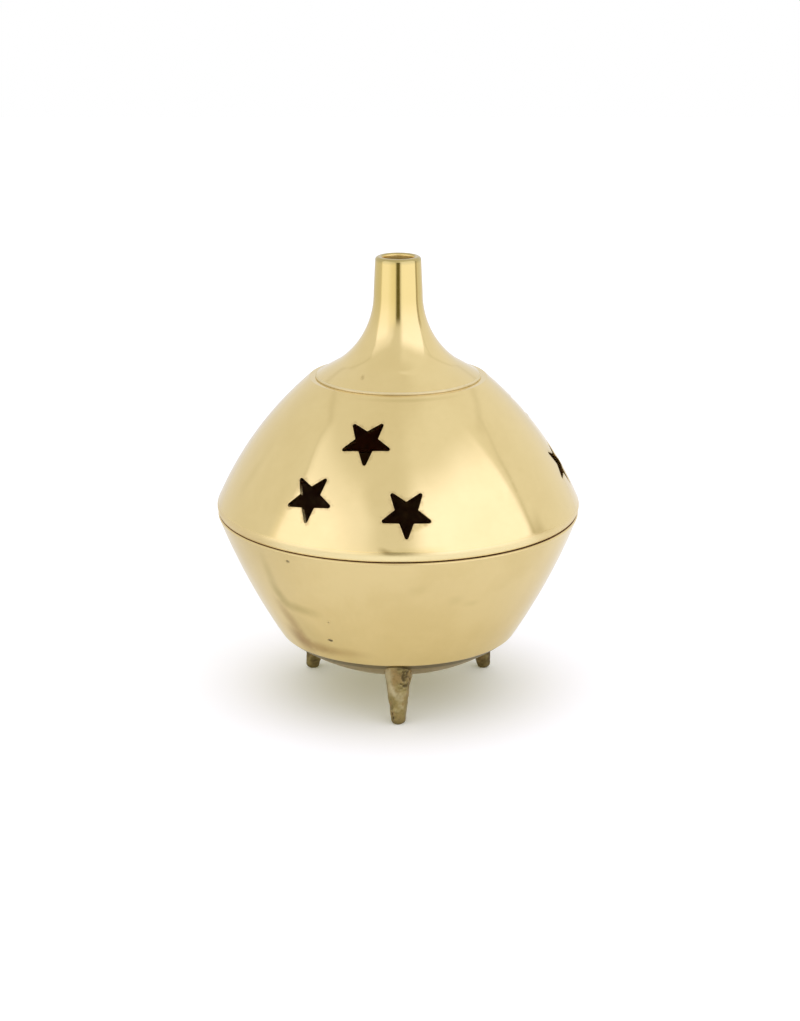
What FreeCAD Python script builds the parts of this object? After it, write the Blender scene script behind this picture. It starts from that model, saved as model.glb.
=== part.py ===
"""Standing brass censer: a bowl on three cast feet, with a pierced lid and a chimney.

Millimetres, +Z up. The origin is on the table, under the axis that the bowl and lid are turned about.
One foot points along -Y, the front, and the other two stand at 120 degrees to it.
"""
import FreeCAD, Part
import math
import os
import re

from FreeCAD import Placement, Rotation, Vector
import Sketcher

DIMENSIONS = {
    # bowl: outside, from the flat of the underside up to the rim
    "floor_height": 7.24,
    "flat_radius": 8.0,
    "flat_bend": 24.2,
    "hip_radius": 18.0,
    "hip_height": 9.4,
    "underside_bend": 45.0,
    "crease_radius": 27.2,
    "crease_height": 15.0,
    "wall_bend": 147.0,
    "rim_radius": 41.1,
    "seam_height": 43.4,
    "rim_break": 0.3,
    # bowl: inside
    "bowl_wall": 1.5,
    "rim_land": 1.6,
    "inner_crease_radius": 26.0,
    "inner_crease_height": 16.0,
    "inner_bend": 25.95,
    "hollow_above": 2.0,
    # feet and what holds them
    "foot_spread": 23.75,
    "foot_lean": 8.8,
    "foot_azimuth_step": 120.0,
    "tip_radius": 1.5,
    "tip_centre": 1.2,
    "ankle_radius": 1.95,
    "ankle_height": 4.0,
    "knee_radius": 2.45,
    "knee_height": 8.0,
    "hip_joint_radius": 3.05,
    "hip_joint_height": 11.5,
    "foot_blank_height": 16.0,
    "pad_radius": 3.3,
    "pad_start": 9.0,
    "pad_height": 14.5,
    "screw_radius": 1.25,
    "screw_hole_radius": 1.4,
    "tapped_hole_radius": 1.27,
    "tapped_hole_start": 6.0,
    "screw_tip": 6.6,
    "screw_point": 0.3,
    "washer_radius": 3.0,
    "washer_thickness": 0.5,
    "head_radius": 2.3,
    "head_thickness": 1.4,
    "head_round": 0.5,
    "slot_width": 0.6,
    "slot_depth": 0.7,
    # lid dome
    "shoulder_radius": 41.3,
    "shoulder_height": 44.9,
    "shoulder_round": 2.5,
    "dome_start_angle": 23.7,
    "dome_bend": 80.0,
    "dome_wall": 1.3,
    "dome_top_radius": 20.0,
    "dome_top_height": 74.4,
    "dome_mouth_radius": 16.6,
    "dome_lip": 1.4,
    "inner_dome_top_radius": 19.65,
    "ring_seat_radius": 38.25,
    "ring_seat_height": 46.6,
    "inner_dome_radius": 39.35,
    # stars in the dome
    "star_radius": 5.95,
    "star_inner_radius": 2.55,
    "star_tip_round": 0.3,
    "star_cut_depth": 6.0,
    "star_standoff": 2.0,
    # locating ring
    "ring_outer_radius": 38.2,
    "ring_inner_radius": 37.0,
    "ring_bottom": 40.6,
    "ring_top": 46.4,
    "ring_lead": 0.4,
    # chimney
    "flange_radius": 18.65,
    "flange_edge": 0.35,
    "flare_radius": 13.6,
    "flare_height": 77.75,
    "flare_bend": 19.0,
    "neck_radius": 5.5,
    "neck_height": 93.4,
    "mouth_radius": 5.15,
    "chimney_top": 101.6,
    "mouth_round": 0.8,
    "flue_radius": 3.6,
    "flue_chamfer": 0.35,
    "throat_radius": 12.8,
    "throat_height": 76.0,
    "spigot_radius": 16.5,
    "spigot_wall": 1.3,
    "spigot_depth": 2.0,
    # ember plate and cone cup
    "plate_bottom": 23.0,
    "plate_thickness": 1.0,
    "plate_flat_radius": 28.0,
    "plate_rim_radius": 31.65,
    "plate_rim_height": 25.9,
    "vent_radius": 1.5,
    "rivet_hole_radius": 1.6,
    "rivet_radius": 1.55,
    "rivet_head_radius": 2.5,
    "rivet_head_height": 0.6,
    "cup_base_radius": 4.8,
    "cup_mouth_radius": 7.0,
    "cup_height": 5.5,
    "cup_wall": 1.1,
    "cup_floor": 1.2,
    "cup_lip": 0.5,
}

# azimuth of the middle of each group of stars, from the front (-Y) towards +X: the groups are set out by hand
STAR_GROUPS = [-14.1, 102.7, 225.9]
# (azimuth from the group's own middle, height above the table, turn in its own plane): the stars are cut by
# hand, so no two sit quite alike
STARS = [(0.0, 66.3, 4.5), (-17.4, 54.9, 7.0), (16.8, 53.3, -1.0)]
# (radius of a ring of vents, vents in it)
VENT_RINGS = [(11.5, 6), (17.5, 12), (24.0, 18)]
FEET = ["front", "rear_right", "rear_left"]

doc = FreeCAD.newDocument("censer")
sheet = doc.addObject("Spreadsheet::Sheet", "dims")
for row, (alias, number) in enumerate(DIMENSIONS.items(), start=1):
    sheet.set(f"A{row}", alias)
    sheet.set(f"B{row}", str(number))
    sheet.setAlias(f"B{row}", alias)
doc.recompute()

WORD = re.compile(r"\b(" + "|".join(DIMENSIONS) + r")\b")


def bound(formula):
    """A formula in the sheet's aliases, as another object has to write it."""
    return WORD.sub(r"dims.\1", formula)


def size(formula):
    """The present value of such a formula."""
    return float(sheet.evalExpression(formula))


def origin_plane(body, role):
    return next(item for item in body.Origin.OriginFeatures if item.Role == role)


def new_body(label):
    body = doc.addObject("PartDesign::Body", label)
    body.Label = label
    return body


def new_sketch(body, name, role="XZ_Plane"):
    sketch = body.newObject("Sketcher::SketchObject", name)
    sketch.AttachmentSupport = [(origin_plane(body, role), "")]
    sketch.MapMode = "FlatFace"
    return sketch


def arc_middle(start, end, radius):
    """Middle of the arc from start to end: it turns left for a positive radius, right for a negative one."""
    chord = end - start
    half = chord.Length / 2
    rise = abs(radius) - math.sqrt(radius * radius - half * half)
    right = Vector(chord.y, -chord.x, 0).normalize()
    return (start + end) / 2 + right * math.copysign(rise, radius)


def draw_outline(sketch, corners):
    """Closed outline through the corners, each (across, up) or (across, up, bend of the edge that follows).

    Each entry is a formula in the sheet's aliases, and each size becomes a constraint bound to it.
    """
    points = [Vector(size(corner[0]), size(corner[1]), 0) for corner in corners]
    ends = []
    for index, corner in enumerate(corners):
        start, end = points[index], points[(index + 1) % len(points)]
        if len(corner) == 3:
            middle = arc_middle(start, end, size(corner[2]))
            edge = sketch.addGeometry(Part.Arc(start, middle, end), False)
        else:
            edge = sketch.addGeometry(Part.LineSegment(start, end), False)
        starts_here = (sketch.getPoint(edge, 1) - start).Length < (sketch.getPoint(edge, 2) - start).Length
        ends.append((edge, 1, 2) if starts_here else (edge, 2, 1))
    for index, corner in enumerate(corners):
        edge, start_pos, _ = ends[index]
        previous, _, previous_end = ends[index - 1]
        sketch.addConstraint(Sketcher.Constraint("Coincident", previous, previous_end, edge, start_pos))
        for kind, axis, formula in (("DistanceX", -2, corner[0]), ("DistanceY", -1, corner[1])):
            if size(formula) == 0:
                sketch.addConstraint(Sketcher.Constraint("PointOnObject", edge, start_pos, axis))
            else:
                number = sketch.addConstraint(
                    Sketcher.Constraint(kind, -1, 1, edge, start_pos, size(formula)))
                sketch.setExpression(f"Constraints[{number}]", bound(formula))
        if len(corner) == 3:
            radius = corner[2].lstrip("-")
            number = sketch.addConstraint(Sketcher.Constraint("Radius", edge, size(radius)))
            sketch.setExpression(f"Constraints[{number}]", bound(radius))


def turned(label, corners):
    """A body turned about +Z from an outline of (radius, height) corners."""
    body = new_body(label)
    sketch = new_sketch(body, f"{label}_outline")
    draw_outline(sketch, corners)
    turn = body.newObject("PartDesign::Revolution", f"{label}_turn")
    turn.Profile = sketch
    turn.ReferenceAxis = (sketch, ["V_Axis"])
    turn.Angle = 360
    sketch.Visibility = False
    return body


def cylinder(label, radius, bottom, top, placement):
    """A cylinder along its own axis, from bottom to top, moved by the placement."""
    item = doc.addObject("Part::Cylinder", label)
    item.setExpression("Radius", bound(radius))
    item.setExpression("Height", bound(f"{top} - {bottom}"))
    item.Placement = placement.multiply(Placement(Vector(0, 0, size(bottom)), Rotation()))
    return item


def cut(label, base, tool):
    item = doc.addObject("Part::Cut", label)
    item.Label = label
    item.Base, item.Tool = base, tool
    return item


def fused(label, pieces):
    item = doc.addObject("Part::MultiFuse", label)
    item.Shapes = pieces
    return item


# ---------------------------------------------------------------------------------------------- feet's frames
def foot_placement(number):
    """Frame of a foot: its origin is the foot's point on the table, and its Z runs up the leaning foot."""
    lean = Placement(Vector(0, -size("foot_spread"), 0), Rotation(Vector(1, 0, 0), -size("foot_lean")))
    around = Placement(Vector(), Rotation(Vector(0, 0, 1), number * size("foot_azimuth_step")))
    return around.multiply(lean)


foot_frames = {name: foot_placement(number) for number, name in enumerate(FEET)}

# ------------------------------------------------------------------------------------------------------- bowl
bowl_blank = turned("bowl_blank", [
    ("0", "floor_height"),
    ("flat_radius", "floor_height", "flat_bend"),
    ("hip_radius", "hip_height", "underside_bend"),
    ("crease_radius", "crease_height", "wall_bend"),
    ("rim_radius", "seam_height - rim_break"),
    ("rim_radius - rim_break", "seam_height"),
    ("0", "seam_height"),
])
bowl_hollow = turned("bowl_hollow", [
    ("0", "floor_height + bowl_wall"),
    ("flat_radius", "floor_height + bowl_wall", "inner_bend"),
    ("inner_crease_radius", "inner_crease_height", "wall_bend - bowl_wall"),
    ("rim_radius - rim_land", "seam_height"),
    ("rim_radius - rim_land", "seam_height + hollow_above"),
    ("0", "seam_height + hollow_above"),
])
# a round pad is left standing in the hollow over each foot, square to the leaning screw
pads = fused("pads", [cylinder(f"pad_{name}", "pad_radius", "pad_start", "pad_height", frame)
                      for name, frame in foot_frames.items()])
screw_holes = fused("screw_holes", [
    cylinder(f"screw_hole_{name}", "screw_hole_radius", "pad_start", "foot_blank_height", frame)
    for name, frame in foot_frames.items()])
bowl_casting = cut("bowl_casting", bowl_blank, cut("hollow_around_pads", bowl_hollow, pads))
bowl = cut("bowl", bowl_casting, screw_holes)

# ------------------------------------------------------------------------------------------------------- feet
under_floor = doc.addObject("Part::Box", "under_floor")
for side in ("Length", "Width"):
    under_floor.setExpression(side, bound("3 * foot_spread"))
under_floor.setExpression("Height", bound("tip_radius"))
under_floor.Placement = Placement(
    Vector(-1.5 * size("foot_spread"), -1.5 * size("foot_spread"), -size("tip_radius")), Rotation())
above_feet = fused("above_feet", [bowl_blank, under_floor])


def foot_blank(name):
    """Tapered leg with a round tip, longer than the foot, before it is fitted to the underside."""
    blank = turned(f"foot_blank_{name}", [
        ("0", "tip_centre - tip_radius", "tip_radius"),
        ("tip_radius", "tip_centre"),
        ("ankle_radius", "ankle_height"),
        ("knee_radius", "knee_height"),
        ("hip_joint_radius", "hip_joint_height"),
        ("hip_joint_radius", "foot_blank_height"),
        ("0", "foot_blank_height"),
    ])
    blank.Placement = foot_frames[name]
    return blank


def foot(name):
    """Foot with its head shaped to the bowl's underside, a flat on its tip, and a tapped hole."""
    fitted = cut(f"fitted_{name}", foot_blank(name), above_feet)
    hole = cylinder(f"tapped_hole_{name}", "tapped_hole_radius", "tapped_hole_start",
                    "foot_blank_height", foot_frames[name])
    return cut(f"foot_{name}", fitted, hole)


def foot_washer(name):
    washer = turned(f"foot_washer_{name}", [
        ("screw_hole_radius", "pad_height"),
        ("washer_radius", "pad_height"),
        ("washer_radius", "pad_height + washer_thickness"),
        ("screw_hole_radius", "pad_height + washer_thickness"),
    ])
    washer.Placement = foot_frames[name]
    return washer


def foot_screw(name):
    """Slotted cheese-head screw, which comes down through the washer and the bowl into the foot."""
    under_head = "pad_height + washer_thickness"
    screw = turned(f"foot_screw_{name}", [
        ("0", "screw_tip"),
        ("screw_radius - screw_point", "screw_tip"),
        ("screw_radius", "screw_tip + screw_point"),
        ("screw_radius", under_head),
        ("head_radius", under_head),
        ("head_radius", f"{under_head} + head_thickness - head_round", "head_round"),
        ("head_radius - head_round", f"{under_head} + head_thickness"),
        ("0", f"{under_head} + head_thickness"),
    ])
    slot_sketch = new_sketch(screw, f"slot_sketch_{name}")
    top = f"{under_head} + head_thickness"
    draw_outline(slot_sketch, [
        ("-slot_width / 2", f"{top} - slot_depth"),
        ("slot_width / 2", f"{top} - slot_depth"),
        ("slot_width / 2", f"{top} + slot_depth"),
        ("-slot_width / 2", f"{top} + slot_depth"),
    ])
    slot = screw.newObject("PartDesign::Pocket", f"slot_{name}")
    slot.Profile = slot_sketch
    slot.Midplane = True
    slot.setExpression("Length", bound("3 * head_radius"))
    screw.Placement = foot_frames[name]
    return screw


feet = [foot(name) for name in FEET]
washers = [foot_washer(name) for name in FEET]
screws = [foot_screw(name) for name in FEET]

# --------------------------------------------------------------------------------------------------- lid dome
shoulder_centre = "(shoulder_radius - shoulder_round)"
seat_edge = f"{shoulder_centre} + sqrt(shoulder_round ^ 2 - (shoulder_height - seam_height) ^ 2)"
dome_start_radius = f"{shoulder_centre} + shoulder_round * cos(dome_start_angle)"
dome_start_height = "shoulder_height + shoulder_round * sin(dome_start_angle)"

lid_dome = turned("lid_dome", [
    ("ring_seat_radius", "seam_height"),
    (seat_edge, "seam_height", "shoulder_round"),
    (dome_start_radius, dome_start_height, "dome_bend"),
    ("dome_top_radius", "dome_top_height"),
    ("dome_mouth_radius", "dome_top_height"),
    ("dome_mouth_radius", "dome_top_height - dome_lip"),
    ("inner_dome_top_radius", "dome_top_height - dome_lip", "-(dome_bend - dome_wall)"),
    ("inner_dome_radius", "ring_seat_height"),
    ("ring_seat_radius", "ring_seat_height"),
])


def dome_point_and_slope(height):
    """Radius of the dome's outside at a height, and its lean from the vertical there, in degrees."""
    low = Vector(size(dome_start_radius), size(dome_start_height), 0)
    high = Vector(size("dome_top_radius"), size("dome_top_height"), 0)
    bend = size("dome_bend")
    middle = arc_middle(low, high, bend)
    centre = middle + ((low + high) / 2 - middle).normalize() * bend
    rise = height - centre.y
    return centre.x + math.sqrt(bend * bend - rise * rise), math.degrees(math.asin(rise / bend))


def star_outline(sketch):
    """Five-pointed star about the sketch's origin, with one point down and each tip slightly round."""
    outer, inner, tip_round = size("star_radius"), size("star_inner_radius"), size("star_tip_round")
    half_turn = math.radians(36)
    tip_angle = math.atan2(inner * math.sin(half_turn), outer - inner * math.cos(half_turn))
    along_edge = tip_round / math.tan(tip_angle)
    round_end = outer - tip_round / math.sin(tip_angle) + tip_round

    def polar(radius, angle, sideways=0.0):
        out = Vector(math.cos(angle), math.sin(angle), 0)
        across = Vector(-math.sin(angle), math.cos(angle), 0)
        return out * radius + across * sideways

    for number in range(5):
        angle = math.radians(-90 + 72 * number)
        tangent = (outer - along_edge * math.cos(tip_angle), along_edge * math.sin(tip_angle))
        valley, next_valley = polar(inner, angle - half_turn), polar(inner, angle + half_turn)
        before, after = polar(tangent[0], angle, -tangent[1]), polar(tangent[0], angle, tangent[1])
        sketch.addGeometry(Part.LineSegment(valley, before), False)
        sketch.addGeometry(Part.Arc(before, polar(round_end, angle), after), False)
        sketch.addGeometry(Part.LineSegment(after, next_valley), False)


def star_pocket(name, azimuth, height, turn):
    """Star cut square to the dome, at an azimuth counted from the front (-Y) towards +X."""
    radius, slope = dome_point_and_slope(height)
    outward = Rotation(Vector(0, 0, 1), azimuth) * Rotation(Vector(1, 0, 0), 90 - slope)
    normal = outward.multVec(Vector(0, 0, 1))
    foot_of_normal = Rotation(Vector(0, 0, 1), azimuth).multVec(Vector(0, -radius, height))
    sketch = new_sketch(lid_dome, f"star_sketch_{name}", "XY_Plane")
    sketch.AttachmentOffset = Placement(foot_of_normal + normal * size("star_standoff"),
                                        outward * Rotation(Vector(0, 0, 1), turn))
    star_outline(sketch)
    pocket = lid_dome.newObject("PartDesign::Pocket", f"star_{name}")
    pocket.Profile = sketch
    pocket.setExpression("Length", bound("star_cut_depth"))
    return pocket


for group, group_azimuth in enumerate(STAR_GROUPS, start=1):
    for number, (azimuth, height, turn) in enumerate(STARS, start=1):
        lid_dome.Tip = star_pocket(f"{group}_{number}", group_azimuth + azimuth, height, turn)

# ----------------------------------------------------------------------------------- locating ring and chimney
lid_ring = turned("lid_ring", [
    ("ring_inner_radius", "ring_bottom"),
    ("ring_outer_radius - ring_lead", "ring_bottom"),
    ("ring_outer_radius", "ring_bottom + ring_lead"),
    ("ring_outer_radius", "ring_top"),
    ("ring_inner_radius", "ring_top"),
])
chimney = turned("chimney", [
    ("spigot_radius - spigot_wall", "dome_top_height - spigot_depth"),
    ("spigot_radius", "dome_top_height - spigot_depth"),
    ("spigot_radius", "dome_top_height"),
    ("flange_radius", "dome_top_height"),
    ("flange_radius", "dome_top_height + flange_edge"),
    ("flare_radius", "flare_height", "-flare_bend"),
    ("neck_radius", "neck_height"),
    ("mouth_radius", "chimney_top - mouth_round", "mouth_round"),
    ("mouth_radius - mouth_round", "chimney_top"),
    ("flue_radius + flue_chamfer", "chimney_top"),
    ("flue_radius", "chimney_top - flue_chamfer"),
    ("flue_radius", "neck_height", "flare_bend + neck_radius - flue_radius"),
    ("throat_radius", "throat_height"),
    ("spigot_radius - spigot_wall", "dome_top_height"),
])

# -------------------------------------------------------------------------------------- ember plate and cup
plate_top = "(plate_bottom + plate_thickness)"
ember_plate = turned("ember_plate", [
    ("rivet_hole_radius", "plate_bottom"),
    ("plate_flat_radius", "plate_bottom"),
    ("plate_rim_radius", "plate_rim_height"),
    ("plate_rim_radius - plate_thickness", "plate_rim_height + plate_thickness / 2"),
    ("plate_flat_radius - plate_thickness / 2", plate_top),
    ("rivet_hole_radius", plate_top),
])


def vent_ring(radius, count):
    """Ring of vents drilled down through the plate."""
    sketch = new_sketch(ember_plate, f"vent_sketch_{count}", "XY_Plane")
    sketch.AttachmentOffset = Placement(Vector(0, 0, size(f"{plate_top} + plate_thickness")), Rotation())
    circle = sketch.addGeometry(Part.Circle(Vector(radius, 0, 0), Vector(0, 0, 1), size("vent_radius")), False)
    sketch.addConstraint(Sketcher.Constraint("PointOnObject", circle, 3, -1))
    sketch.addConstraint(Sketcher.Constraint("DistanceX", -1, 1, circle, 3, radius))
    number = sketch.addConstraint(Sketcher.Constraint("Radius", circle, size("vent_radius")))
    sketch.setExpression(f"Constraints[{number}]", bound("vent_radius"))
    vent = ember_plate.newObject("PartDesign::Pocket", f"vent_{count}")
    vent.Profile = sketch
    vent.setExpression("Length", bound("3 * plate_thickness"))
    ring = ember_plate.newObject("PartDesign::PolarPattern", f"vents_{count}")
    ring.Originals = [vent]
    ring.Axis = (origin_plane(ember_plate, "Z_Axis"), [""])
    ring.Angle = 360
    ring.Occurrences = count
    ember_plate.Tip = ring


for ring_radius, vent_count in VENT_RINGS:
    vent_ring(ring_radius, vent_count)

cone_cup = turned("cone_cup", [
    ("0", "plate_bottom - rivet_head_height"),
    ("rivet_head_radius - rivet_head_height / 2", "plate_bottom - rivet_head_height"),
    ("rivet_head_radius", "plate_bottom"),
    ("rivet_radius", "plate_bottom"),
    ("rivet_radius", plate_top),
    ("cup_base_radius", plate_top),
    ("cup_mouth_radius", f"{plate_top} + cup_height - cup_lip"),
    ("cup_mouth_radius", f"{plate_top} + cup_height"),
    ("cup_mouth_radius - cup_wall", f"{plate_top} + cup_height"),
    ("cup_base_radius - cup_wall", f"{plate_top} + cup_floor"),
    ("0", f"{plate_top} + cup_floor"),
])

# ----------------------------------------------------------------------------------------------- check, write
NODES = [bowl, *feet, *washers, *screws, lid_dome, lid_ring, chimney, ember_plate, cone_cup]

doc.recompute()
for item in doc.Objects:
    if "Invalid" in item.State or "Error" in item.State:
        raise RuntimeError(f"{item.Name}: {item.State}")
os.makedirs("parts", exist_ok=True)
for node in NODES:
    shape = node.Shape
    if shape.isNull() or not shape.isValid() or len(shape.Solids) != 1:
        raise RuntimeError(f"{node.Label}: not one valid solid")
for node in NODES:
    node.Shape.exportStep(f"parts/{node.Label}.step")
    box = node.Shape.BoundBox
    print(f"{node.Label:24s} {node.Shape.Volume:9.1f} mm3   z {box.ZMin:7.2f} to {box.ZMax:7.2f}")
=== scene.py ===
"""Looks of the standing brass censer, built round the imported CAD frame.

Shapes are worked out in millimetres in the row frame (+Z up, front foot along -Y) and written in metres.
"""
from collections import namedtuple
from math import asin, atan2, ceil, copysign, cos, exp, floor, hypot, pi, radians, remainder, sin, sqrt

import bmesh
import bpy
from mathutils import Matrix, Vector, noise
from mathutils.geometry import delaunay_2d_cdt


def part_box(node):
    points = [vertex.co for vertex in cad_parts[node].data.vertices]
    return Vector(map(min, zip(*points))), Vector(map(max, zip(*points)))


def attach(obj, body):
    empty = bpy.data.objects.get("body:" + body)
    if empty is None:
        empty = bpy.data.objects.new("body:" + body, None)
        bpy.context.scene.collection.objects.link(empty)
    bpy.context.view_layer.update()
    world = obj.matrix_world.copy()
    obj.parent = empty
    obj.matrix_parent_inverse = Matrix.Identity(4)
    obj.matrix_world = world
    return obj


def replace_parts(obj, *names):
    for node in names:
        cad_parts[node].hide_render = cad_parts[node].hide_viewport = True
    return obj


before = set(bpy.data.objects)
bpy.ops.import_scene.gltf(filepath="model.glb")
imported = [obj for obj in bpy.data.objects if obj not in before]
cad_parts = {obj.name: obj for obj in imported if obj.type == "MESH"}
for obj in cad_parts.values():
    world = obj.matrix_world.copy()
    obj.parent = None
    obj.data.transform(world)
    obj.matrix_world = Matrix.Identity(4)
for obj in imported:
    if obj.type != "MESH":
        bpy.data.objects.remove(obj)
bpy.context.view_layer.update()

MM = 0.001
AROUND, PITCH = 288, 0.8     # vertices round a turned piece, and their distance along its outline
FEET = ("front", "rear_right", "rear_left")
FULL_TURN = 2 * pi
STEP = FULL_TURN / AROUND
SHARP_ANGLE = radians(35)   # edges sharper than this are shaded as edges


# ---- sizes, in millimetres
def reach(node):
    """(lowest height, greatest height, radius) of a node of the frame."""
    low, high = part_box(node)
    return low[2] / MM, high[2] / MM, high[0] / MM


FLOOR_HEIGHT, SEAM_HEIGHT, RIM_RADIUS = reach("bowl")
_, DOME_TOP_HEIGHT, SHOULDER_RADIUS = reach("lid_dome")
RING_BOTTOM, RING_TOP, RING_OUTER_RADIUS = reach("lid_ring")
SPIGOT_BOTTOM, MOUTH_TOP, FLANGE_RADIUS = reach("chimney")
PLATE_BOTTOM, PLATE_RIM_TOP, PLATE_RIM_RADIUS = reach("ember_plate")
CUP_BOTTOM, CUP_TOP, CUP_RADIUS = reach("cone_cup")

FLAT_RADIUS, FLAT_BEND = 8.0, 24.2
HIP_RADIUS, HIP_HEIGHT, UNDERSIDE_BEND = 18.0, 9.4, 45.0
CREASE_RADIUS, CREASE_HEIGHT, WALL_BEND = 27.2, 15.0, 147.0
BOWL_WALL, RIM_LAND = 1.5, 1.6
INNER_CREASE_RADIUS, INNER_CREASE_HEIGHT, INNER_BEND = 26.0, 16.0, 25.95

SHOULDER_HEIGHT, SHOULDER_ROUND = 44.9, 2.5
DOME_START_ANGLE, DOME_BEND, DOME_WALL = radians(23.7), 80.0, 1.3
DOME_TOP_RADIUS, DOME_MOUTH_RADIUS, DOME_LIP, INNER_DOME_TOP_RADIUS = 20.0, 16.6, 1.4, 19.65
RING_SEAT_RADIUS, RING_SEAT_HEIGHT, INNER_DOME_RADIUS = 38.25, 46.6, 39.35
RING_INNER_RADIUS = 37.0
SEAM_GAP, SEAM_LIFT, SEAM_OPENS_AT, SEAM_FADE = 0.11, 0.085, radians(75), 1.4

FLANGE_EDGE = 0.35
FLARE_RADIUS, FLARE_HEIGHT, FLARE_BEND = 13.6, 77.75, 19.0
NECK_RADIUS, NECK_HEIGHT, MOUTH_RADIUS, MOUTH_ROUND = 5.5, 93.4, 5.15, 0.8
FLUE_RADIUS, THROAT_RADIUS, THROAT_HEIGHT = 3.6, 12.8, 76.0
SPIGOT_RADIUS, SPIGOT_WALL = 16.5, 1.3

STAR_RADIUS, STAR_INNER_RADIUS, STAR_TIP_ROUND, STAR_VALLEY_ROUND = 6.3, 2.6, 0.42, 0.25
STAR_EDGE_ROUND, STAR_PATCH = 0.12, radians(31.0)             # the patch is half as wide as a group
STAR_GROUPS = (-14.1, 102.7, 225.9)                                 # azimuth of each group of three
STARS = ((0.0, 66.3, 4.5), (-17.4, 54.9, 7.0), (16.8, 53.3, -1.0))   # azimuth in group, height, turn

FOOT_SPREAD, FOOT_LEAN = 23.75, radians(8.8)
PAD_RADIUS, PAD_HEIGHT, INTO_BOWL = 3.3, 14.5, 0.8
SCREW_RADIUS, SCREW_HOLE_RADIUS, SCREW_BOTTOM, SCREW_BEVEL = 1.25, 1.4, 6.7, 0.3
WASHER_RADIUS, WASHER_THICKNESS = 3.0, 0.5
HEAD_RADIUS, HEAD_THICKNESS, SLOT_WIDTH, SLOT_DEPTH = 2.3, 1.4, 0.6, 0.7

PLATE_THICKNESS, PLATE_FLAT_RADIUS = 1.0, 28.0
VENT_RADIUS, VENT_RINGS = 1.5, ((11.5, 6), (17.5, 12), (24.0, 18))
CUP_BASE_RADIUS, CUP_WALL, CUP_FLOOR, RIVET_RADIUS, RIVET_HEAD_RADIUS = 4.8, 1.1, 1.2, 1.55, 2.5


# ---- outline of a turning
# bend is the radius of the edge that follows the corner, positive where it turns left; finish is that edge's
# material; soft is how far the corner is rounded off; steps is the number of pieces of the edge
corner = namedtuple("corner", "radius height bend finish soft steps", defaults=(0.0, 0, 0.0, None))


def arc_centre(start, end, bend):
    chord = end - start
    rise = sqrt(bend * bend - chord.length_squared / 4)
    left = Vector((-chord.y, chord.x)).normalized()
    return (start + end) / 2 + left * copysign(rise, bend)


def edge_points(start, end, bend, steps):
    """Points from start up to, and not including, end."""
    if not bend:
        return [start.lerp(end, n / steps) for n in range(steps)]
    centre = arc_centre(start, end, bend)
    first, last = start - centre, end - centre
    swing = atan2(last.y, last.x) - atan2(first.y, first.x)
    swing = (swing + pi) % (2 * pi) - pi
    return [centre + Matrix.Rotation(swing * n / steps, 2) @ first for n in range(steps)]


def outline(corners, closed):
    """(point, finish of the edge that follows) all round the outline, with its corners rounded off."""
    rows = []
    for here, there in zip(corners, corners[1:] + corners[:1]):
        start, end = Vector(here[:2]), Vector(there[:2])
        if not closed and here is corners[-1]:
            rows.append((start, here.finish, here.soft))
            break
        points = edge_points(start, end, here.bend, here.steps or max(2, round((end - start).length / PITCH)))
        rows += [(p, here.finish, here.soft if k == 0 else 0.0) for k, p in enumerate(points)]
    rounded = []
    for n, (point, finish, soft) in enumerate(rows):
        if not soft or not closed and n in (0, len(rows) - 1):
            rounded.append((point, finish))
            continue
        before, after = rows[n - 1][0] - point, rows[(n + 1) % len(rows)][0] - point
        start = point + before.normalized() * min(soft, before.length * 0.45)
        end = point + after.normalized() * min(soft, after.length * 0.45)
        for k in range(6):
            t = k / 5
            rounded.append((start * (1 - t) ** 2 + point * 2 * t * (1 - t) + end * t * t, finish))
    return rounded


def outline_normals(points, closed):
    """Normals of an outline that runs anticlockwise round its metal, long edges counting most."""
    normals = []
    count = len(points)
    for n, point in enumerate(points):
        total = Vector((0.0, 0.0))
        if closed or n > 0:
            total += point - points[n - 1]
        if closed or n < count - 1:
            total += points[(n + 1) % count] - point
        normals.append(Vector((total.y, -total.x)).normalized())
    return normals


# ---- meshes
def heading(angle):
    return Vector((cos(angle), sin(angle)))


def clamp(share):
    return min(1.0, max(0.0, share))


def polar(radius, azimuth, height):
    """Point at an azimuth counted from the front (-Y) towards +X."""
    return Vector((radius * sin(azimuth), -radius * cos(azimuth), height))


def new_object(name, data):
    item = bpy.data.objects.new(name, data)
    bpy.context.scene.collection.objects.link(item)
    return item


def bmesh_object(name, made):
    mesh = bpy.data.meshes.new(name)
    made.to_mesh(mesh)
    made.free()
    return new_object(name, mesh)


def make_object(name, vertices, faces, finishes, materials, normals=None):
    """Mesh object from points in millimetres, with smooth faces and, where given, exact vertex normals."""
    mesh = bpy.data.meshes.new(name)
    mesh.from_pydata([v * MM for v in vertices], [], faces)
    for material in materials:
        mesh.materials.append(material)
    mesh.polygons.foreach_set("material_index", finishes)
    mesh.polygons.foreach_set("use_smooth", [True] * len(faces))
    mesh.update()
    if normals is None:
        mesh.set_sharp_from_angle(angle=SHARP_ANGLE)
    else:
        mesh.normals_split_custom_set_from_vertices([tuple(n) for n in normals])
    return new_object(name, mesh)


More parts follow.
